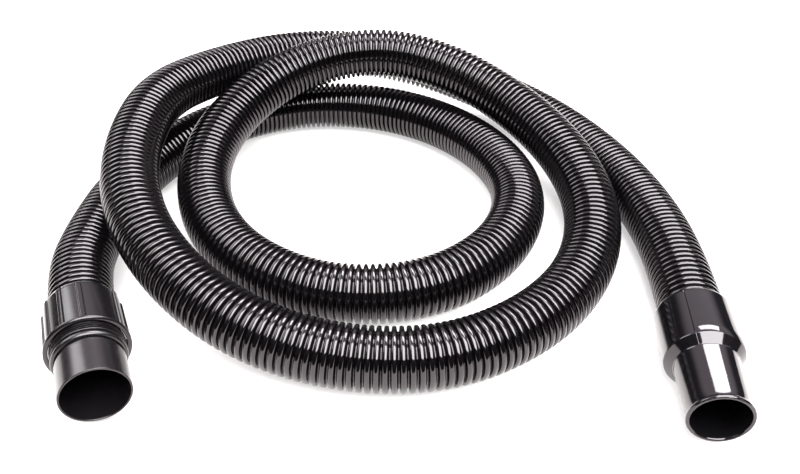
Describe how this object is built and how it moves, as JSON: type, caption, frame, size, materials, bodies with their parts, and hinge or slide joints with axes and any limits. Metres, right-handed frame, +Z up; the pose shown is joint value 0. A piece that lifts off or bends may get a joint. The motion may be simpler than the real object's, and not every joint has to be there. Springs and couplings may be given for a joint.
{
  "type": "vacuum hose",
  "caption": "Corrugated vacuum hose in loose floor loops, with a swivelling sealed spigot in a ribbed grip collar at one end and a swivelling stepped cuff at the other.",
  "frame": {"origin": "Middle of the bottom of the box round the two end fittings, on the floor the hose lies on.", "axes": "+X runs from the machine end to the tool end, the fittings' longest extent; +Z is up, their shortest; the two open mouths face -Y and the coil lies on the +Y side."},
  "size_m": [0.5091, 0.5011, 0.1067],
  "materials": {
    "hose_black": "glossy",
    "collar_black": "satin",
    "spigot_black": "satin",
    "seal_rubber": "satin",
    "cuff_black": "glossy",
    "sleeve_plastic": "satin",
    "washer_acetal": "satin",
    "ring_steel": "satin"
  },
  "bodies": {
    "hose_body": {"corrugated_hose": "hose_black", "machine_grip_collar": "collar_black", "machine_inner_sleeve": "sleeve_plastic", "machine_glide_washer": "washer_acetal", "machine_o_ring": "seal_rubber", "machine_retaining_ring": "ring_steel", "tool_inner_sleeve": "sleeve_plastic", "tool_glide_washer": "washer_acetal", "tool_o_ring": "seal_rubber"},
    "machine_spigot_body": {"machine_spigot": "spigot_black", "spigot_seal_ring": "seal_rubber"},
    "tool_cuff_body": {"tool_cuff": "cuff_black", "tool_retaining_ring": "ring_steel"}
  },
  "joints": [
    {"name": "machine_swivel", "type": "hinge", "parent": "hose_body", "child": "machine_spigot_body", "pos_m": [-0.20304, 0.00536, 0.0284], "axis": [0.3981, -0.9173, 0], "continuous": true},
    {"name": "tool_swivel", "type": "hinge", "parent": "hose_body", "child": "tool_cuff_body", "pos_m": [0.214, 0.017, 0.0273], "axis": [-0.1118, -0.9937, 0], "continuous": true}
  ]
}
